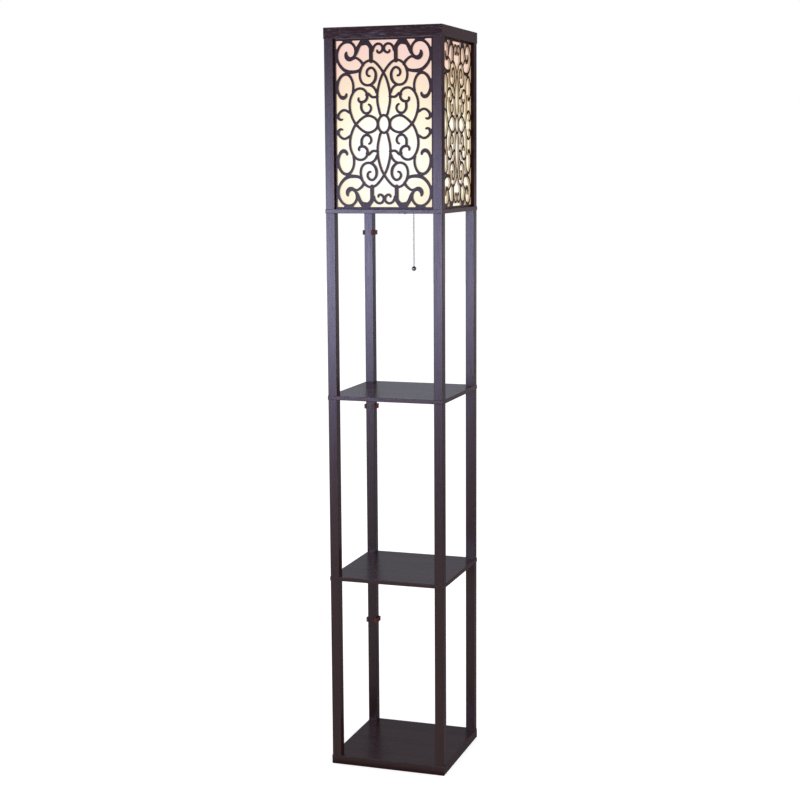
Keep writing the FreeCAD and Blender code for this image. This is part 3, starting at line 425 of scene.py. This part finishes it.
class LAMP_OT_fittings(bpy.types.Operator):
    """Finish the fixings, the holder's inner parts, the gland, the grommet and the clips"""
    bl_idname = "lamp.fittings"
    bl_label = "Fittings"

    def execute(self, context):
        look = context.scene.lamp_finish
        # Zinc-plated steel: cool grey, slightly cloudy.
        zinc = speckled("zinc_plated_steel", look.zinc, 0.38, 0.0012, Metallic=1.0)
        # Moulded phenolic: near-black and satin.
        phenolic = speckled("moulded_phenolic", "#1B1918", 0.42, 0.0008)
        # Pressed fibre sleeve: dull brown card with short fibres.
        fibre = speckled("vulcanised_fibre", "#5A3F2B", 0.8, 0.0006, amount=0.2, bump=0.3)
        # Injection-moulded polypropylene: black, satin, fine spark-eroded texture.
        black = speckled("moulded_black_polypropylene", "#151414", 0.5, 0.0005, bump=0.25)
        # Injection-moulded nylon clip in brown: satin with a fine eroded texture.
        brown = speckled("moulded_brown_nylon", look.clip, 0.5, 0.0006, bump=0.25,
                         Specular_IOR_Level=0.15)
        # Turned beech dowel: pale, dry and close-grained.
        beech = speckled("turned_beech", "#C79E6B", 0.7, 0.0007, amount=0.15, bump=0.2)
        dress(zinc, "lamp_pipe", "pipe_washer", "pipe_nut", "post_studs", "base_bolts",
              "screw_shell", "bulb_cap", "bulb_foot")
        dress(phenolic, "switch_block")
        dress(fibre, "insulating_sleeve")
        dress(black, "chain_grommet", "cord_gland", "gland_nut")
        dress(brown, *[f"{tier}_cord_clip" for tier in TIERS])
        dress(beech, "post_dowels", "rail_dowels")
        return {"FINISHED"}


class LAMP_OT_holder(bpy.types.Operator):
    """Draw the brass cap and shell of the lamp holder"""
    bl_idname = "lamp.holder"
    bl_label = "Lamp holder"

    def execute(self, context):
        look, sizes = context.scene.lamp_finish, context.scene.lamp_sizes
        # Drawn brass under clear lacquer: warm, soft mirror with hardly any mottling.
        brass = speckled("lacquered_drawn_brass", look.brass, 0.24, 0.004, amount=0.05, bump=0.02,
                         Metallic=1.0)
        dress(brass, "chain_spout", "centre_contact")
        self.shell(sizes, brass)
        self.cap(sizes, brass)
        return {"FINISHED"}

    def shell(self, sizes, brass):
        """The cup: a bead over its foot, two at its waist and a rolled rim at its mouth."""
        low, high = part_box("socket_shell")
        foot, mouth, radius = low[2], high[2], high[0]
        inside, rim = radius - sizes.brass_wall, sizes.rolled_rim
        proud, half_gap, waist_share = rim / 4, rim * 0.4, 0.6
        waist = foot + (mouth - foot) * waist_share
        outside = [(radius, foot),
                   *bead(radius, foot + rim / 2, foot + rim * 1.5, proud),
                   *bead(radius, waist - half_gap - rim, waist - half_gap, proud),
                   *bead(radius, waist + half_gap, waist + half_gap + rim, proud),
                   *bead(radius, mouth - rim, mouth, rim / 2)]
        piece_from(turned([*outside, (inside, mouth - rim / 4), (inside, foot)]),
                   "lamp_holder_shell", "lamp", brass, "socket_shell")

    def cap(self, sizes, brass):
        """The cap: a rounded foot on the lamp floor, a bead at the seam, a neck in the shell."""
        low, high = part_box("socket_cap")
        foot, top, radius = low[2], high[2], high[0]
        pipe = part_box("lamp_pipe")[1][0]
        bend, wall, rim = sizes.cap_round, sizes.brass_wall, sizes.rolled_rim
        seam, play = foot + sizes.cap_seam, 0.0001
        neck = radius - wall - play
        outside = [(pipe, foot), *rounded(radius, foot, bend),
                   *bead(radius, seam - rim * 1.5, seam - rim / 2, rim / 4),
                   (radius, seam), (neck, seam), (neck, top)]
        inside = [(neck - wall, top), *reversed(rounded(neck - wall, foot + wall, bend - wall)),
                  (pipe, foot + wall)]
        piece_from(turned(outside + inside), "lamp_holder_cap", "lamp", brass, "socket_cap")


class LAMP_OT_bulb(bpy.types.Operator):
    """Light the frosted bulb"""
    bl_idname = "lamp.bulb"
    bl_label = "Bulb"

    def execute(self, context):
        # Frosted soda-lime glass, alight: an even warm white globe that is dimmer and yellower
        # where the neck runs down into the cap, with a soft satin gloss over it. The frost is
        # drawn coarser than real, to show.
        glass, tree, shader = new_finish("lit_frosted_glass", Base_Color=linear("#8C877C"),
                                         Roughness=0.35, Emission_Strength=0.92)
        low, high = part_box("bulb_glass")
        frost_size, frost_depth = 1 / 900, 0.0001
        place = add(tree, "ShaderNodeTexCoord").outputs["Object"]
        height = add(tree, "ShaderNodeSeparateXYZ", {"Vector": place}).outputs["Z"]
        up = add(tree, "ShaderNodeMapRange",
                 {"Value": height, "From Min": low[2], "From Max": high[2]})
        glow = add(tree, "ShaderNodeValToRGB", {"Fac": up.outputs[0]},
                   stops=[(0.05, linear("#C99A62")), (0.35, linear("#F6DDB0")),
                          (0.62, linear("#FFF6E0")), (1.0, linear("#FBE9C8"))])
        tree.links.new(glow.outputs["Color"], shader.inputs["Emission Color"])
        frost = add(tree, "ShaderNodeTexNoise",
                    {"Vector": place, "Scale": 1 / frost_size, "Detail": 3.0})
        bump = add(tree, "ShaderNodeBump", {"Height": frost.outputs["Fac"], "Strength": 0.1,
                                            "Distance": frost_depth})
        tree.links.new(bump.outputs[0], shader.inputs["Normal"])
        dress(glass, "bulb_glass")
        return {"FINISHED"}


class LAMP_OT_pull_chain(bpy.types.Operator):
    """Finish the pull chain and its ball"""
    bl_idname = "lamp.pull_chain"
    bl_label = "Pull chain"

    def execute(self, context):
        look = context.scene.lamp_finish
        # Nickel-plated ball chain: cool mirror with faint mottling.
        nickel = speckled("nickel_plated_chain", look.nickel, 0.22, 0.0008, Metallic=1.0)
        # Gunmetal-lacquered ball: dark mirror.
        gunmetal = speckled("gunmetal_lacquer", look.ball, 0.16, 0.0008, Metallic=1.0)
        dress(nickel, "chain_upper", "chain_link", "chain_lower")
        dress(gunmetal, "pull_ball")
        return {"FINISHED"}


# ---- the stage ----

# The sweep's profile in y and z, along the floor under the lamp and up behind it. Its levels are
# pairs of a share of its height and the brightness there.
SWEEP = [(-0.15, 0.001), (0.6, 0.001), (0.6, 2.4)]
GREY_LEVELS = [(0.0, 0.2), (0.07, 0.33), (0.35, 0.5), (0.5, 0.76), (0.58, 0.6), (0.7, 0.1)]
ROSY_LEVELS = [(0.0, 0.26), (0.06, 0.28), (0.15, 0.2), (0.35, 0.45), (0.46, 0.78), (0.51, 0.55),
               (0.57, 0.15), (0.63, 0.2), (0.68, 0.28)]

# The front left softbox's profile, and the middle and the reach of its glow.
SOFTBOX = [(-3.4, 0.1), (-3.4, 2.7)]
SOFTBOX_MIDDLE = (-1.75, -3.4, 0.955)
SOFTBOX_REACH = (2.4, 1.0, 0.8)
SOFTBOX_LEVELS = [(0.0, 1.0), (1.0, 0.0)]

# Half a side of the floor, in metres, and how much direct views of it are lifted towards white.
FLOOR_REACH = 14
FLOOR_LIFT = 0.55


class LAMP_OT_stage(bpy.types.Operator):
    """Set the floor, the lights, the background and the camera"""
    bl_idname = "lamp.stage"
    bl_label = "Stage"

    def execute(self, context):
        scene = context.scene
        self.floor()
        self.cards(scene.lamp_stage)
        self.background(scene)
        self.overhead_softbox(scene)
        self.camera(scene)
        scene.view_settings.view_transform = "Standard"
        return {"FINISHED"}

    def seen_directly(self, tree):
        """1 for the camera, for gloss and for a view through glass, and 0 for all other light."""
        path = add(tree, "ShaderNodeLightPath").outputs
        seen = add(tree, "ShaderNodeMath", {0: path["Is Camera Ray"], 1: path["Is Glossy Ray"]},
                   operation="MAXIMUM").outputs[0]
        return add(tree, "ShaderNodeMath", {0: seen, 1: path["Is Transmission Ray"]},
                   operation="MAXIMUM").outputs[0]

    def floor(self):
        # Painted studio floor: matt white that keeps the lamp's shadow and, seen by the camera, is
        # lifted to the white of the background.
        material = bpy.data.materials.new("white_studio_floor")
        tree = emptied(material)
        paint = add(tree, "ShaderNodeBsdfDiffuse", {"Color": linear("#E6E6E6")}).outputs[0]
        lift = add(tree, "ShaderNodeEmission", {"Color": (1, 1, 1, 1), "Strength": FLOOR_LIFT})
        lifted = add(tree, "ShaderNodeAddShader", {0: paint, 1: lift.outputs[0]}).outputs[0]
        mixed = add(tree, "ShaderNodeMixShader", {0: self.seen_directly(tree), 1: paint, 2: lifted})
        add(tree, "ShaderNodeOutputMaterial", {"Surface": mixed.outputs[0]})
        mesh = bmesh.new()
        bmesh.ops.create_grid(mesh, x_segments=1, y_segments=1, size=FLOOR_REACH)
        floor = object_from(mesh, "floor", material)

    def cards(self, stage):
        # The sweep behind and under the lamp, grey along its foot and lightest at mid-height.
        self.card("grey_sweep", SWEEP, (-1.95, 0.15), "#E2E8F8", GREY_LEVELS, 1.0)
        # Its right part, a little rosier and darkest level with the lamp box.
        self.card("rosy_sweep", SWEEP, (0.15, 2.5), "#F9ECFA", ROSY_LEVELS, 1.0)
        # The softbox at the front left, brightest at its middle.
        self.card("front_left_softbox", SOFTBOX, (-4.1, 0.7), "#CFD3FF", SOFTBOX_LEVELS,
                  stage.softbox, SOFTBOX_MIDDLE, SOFTBOX_REACH)

    def card(self, name, profile, ends, colour, levels, strength, middle=None, reach=None):
        """A glowing card that only gloss sees: a profile in y and z between two ends in x.

        Its levels run up its height, or from the middle of its glow out to the glow's reach."""
        material = bpy.data.materials.new(name)
        tree = emptied(material)
        place = add(tree, "ShaderNodeTexCoord").outputs["Object"]
        if middle:
            place = add(tree, "ShaderNodeVectorMath", {0: place, 1: middle},
                        operation="SUBTRACT").outputs[0]
            place = add(tree, "ShaderNodeVectorMath", {0: place, 1: reach},
                        operation="DIVIDE").outputs[0]
            along = add(tree, "ShaderNodeVectorMath", {0: place},
                        operation="LENGTH").outputs["Value"]
        else:
            height = add(tree, "ShaderNodeSeparateXYZ", {"Vector": place}).outputs["Z"]
            top = max(z for _, z in profile)
            along = add(tree, "ShaderNodeMath", {0: height, 1: top}, operation="DIVIDE").outputs[0]
        level = add(tree, "ShaderNodeValToRGB", {"Fac": along},
                    stops=[(at, (value, value, value, 1)) for at, value in levels])
        level.color_ramp.interpolation = "EASE"
        shown = add(tree, "ShaderNodeMix",
                    {FACTOR: 1.0, COLOUR_A: level.outputs["Color"], COLOUR_B: linear(colour)},
                    data_type="RGBA", blend_type="MULTIPLY").outputs[MIXED_COLOUR]
        glow = add(tree, "ShaderNodeEmission", {"Color": shown, "Strength": strength})
        add(tree, "ShaderNodeOutputMaterial", {"Surface": glow.outputs[0]})

        mesh = bmesh.new()
        left, right = ends
        line = [mesh.verts.new((left, y, z)) for y, z in profile]
        edges = [mesh.edges.new(pair) for pair in zip(line, line[1:])]
        drawn = bmesh.ops.extrude_edge_only(mesh, edges=edges)["geom"]
        bmesh.ops.translate(mesh, verts=[v for v in drawn if isinstance(v, bmesh.types.BMVert)],
                            vec=(right - left, 0, 0))
        card = object_from(mesh, name, material)
        card.visible_camera = card.visible_diffuse = card.visible_transmission = False
        card.visible_shadow = card.visible_volume_scatter = False

    def background(self, scene):
        # Pale light from all round, and white where the camera or gloss looks past the lamp.
        world = bpy.data.worlds.new("studio")
        scene.world = world
        tree = emptied(world)
        fill = add(tree, "ShaderNodeBackground", {"Color": linear("#F4F2F4"), "Strength": 0.8})
        white = add(tree, "ShaderNodeBackground", {"Color": (1, 1, 1, 1), "Strength": 1.0})
        mixed = add(tree, "ShaderNodeMixShader", {0: self.seen_directly(tree), 1: fill.outputs[0],
                                                  2: white.outputs[0]})
        add(tree, "ShaderNodeOutputWorld", {"Surface": mixed.outputs[0]})

    def overhead_softbox(self, scene):
        # A square softbox high at the front right, aimed at the lamp's lower half.
        place, aim = Vector((0.6, -0.6, 3.6)), Vector((0, 0, 0.6))
        light = bpy.data.lights.new("overhead_softbox", "AREA")
        light.size = 2.4
        light.energy = 24.0
        softbox = bpy.data.objects.new("overhead_softbox", light)
        softbox.location = place
        softbox.rotation_euler = (aim - place).to_track_quat("-Z", "Y").to_euler()
        scene.collection.objects.link(softbox)

    def camera(self, scene):
        stage = scene.lamp_stage
        across = Vector((math.cos(stage.azimuth), math.sin(stage.azimuth), 0))
        level = Vector((-math.sin(stage.azimuth), math.cos(stage.azimuth), 0))
        ahead = level * math.cos(stage.tilt) - UP * math.sin(stage.tilt)
        above = across.cross(ahead)
        right = across * math.cos(stage.roll) + above * math.sin(stage.roll)
        top = above * math.cos(stage.roll) - across * math.sin(stage.roll)
        data = bpy.data.cameras.new("camera")
        data.sensor_width = 36
        data.lens = stage.lens
        camera = bpy.data.objects.new("camera", data)
        camera.rotation_euler = Matrix((right, top, -ahead)).transposed().to_euler()
        camera.location = across * stage.aside - level * stage.distance + UP * stage.height
        scene.collection.objects.link(camera)
        scene.camera = camera


OPERATORS = (LAMP_OT_wood, LAMP_OT_fretwork, LAMP_OT_fittings, LAMP_OT_holder, LAMP_OT_bulb,
             LAMP_OT_pull_chain, LAMP_OT_stage)


class LAMP_PT_panel(bpy.types.Panel):
    """Lists the lamp's operators, sizes and colours"""
    bl_idname = "LAMP_PT_panel"
    bl_label = "Shelf floor lamp"
    bl_space_type = "VIEW_3D"
    bl_region_type = "UI"
    bl_category = "Lamp"

    def draw(self, context):
        scene = context.scene
        for operator in OPERATORS:
            self.layout.operator(operator.bl_idname)
        for group in (scene.lamp_finish, scene.lamp_sizes, scene.lamp_stage):
            box = self.layout.box()
            for name in group.__annotations__:
                box.prop(group, name)


CLASSES = (LampFinish, LampSizes, LampStage, *OPERATORS, LAMP_PT_panel)


def register():
    for made in CLASSES:
        bpy.utils.register_class(made)
    bpy.types.Scene.lamp_finish = bpy.props.PointerProperty(type=LampFinish)
    bpy.types.Scene.lamp_sizes = bpy.props.PointerProperty(type=LampSizes)
    bpy.types.Scene.lamp_stage = bpy.props.PointerProperty(type=LampStage)


def unregister():
    del bpy.types.Scene.lamp_stage, bpy.types.Scene.lamp_sizes, bpy.types.Scene.lamp_finish
    for made in reversed(CLASSES):
        bpy.utils.unregister_class(made)


def main():
    register()
    bpy.ops.lamp.wood()
    bpy.ops.lamp.fretwork()
    bpy.ops.lamp.fittings()
    bpy.ops.lamp.holder()
    bpy.ops.lamp.bulb()
    bpy.ops.lamp.pull_chain()
    bpy.ops.lamp.stage()
    bpy.context.view_layer.update()


if __name__ == "__main__":
    main()
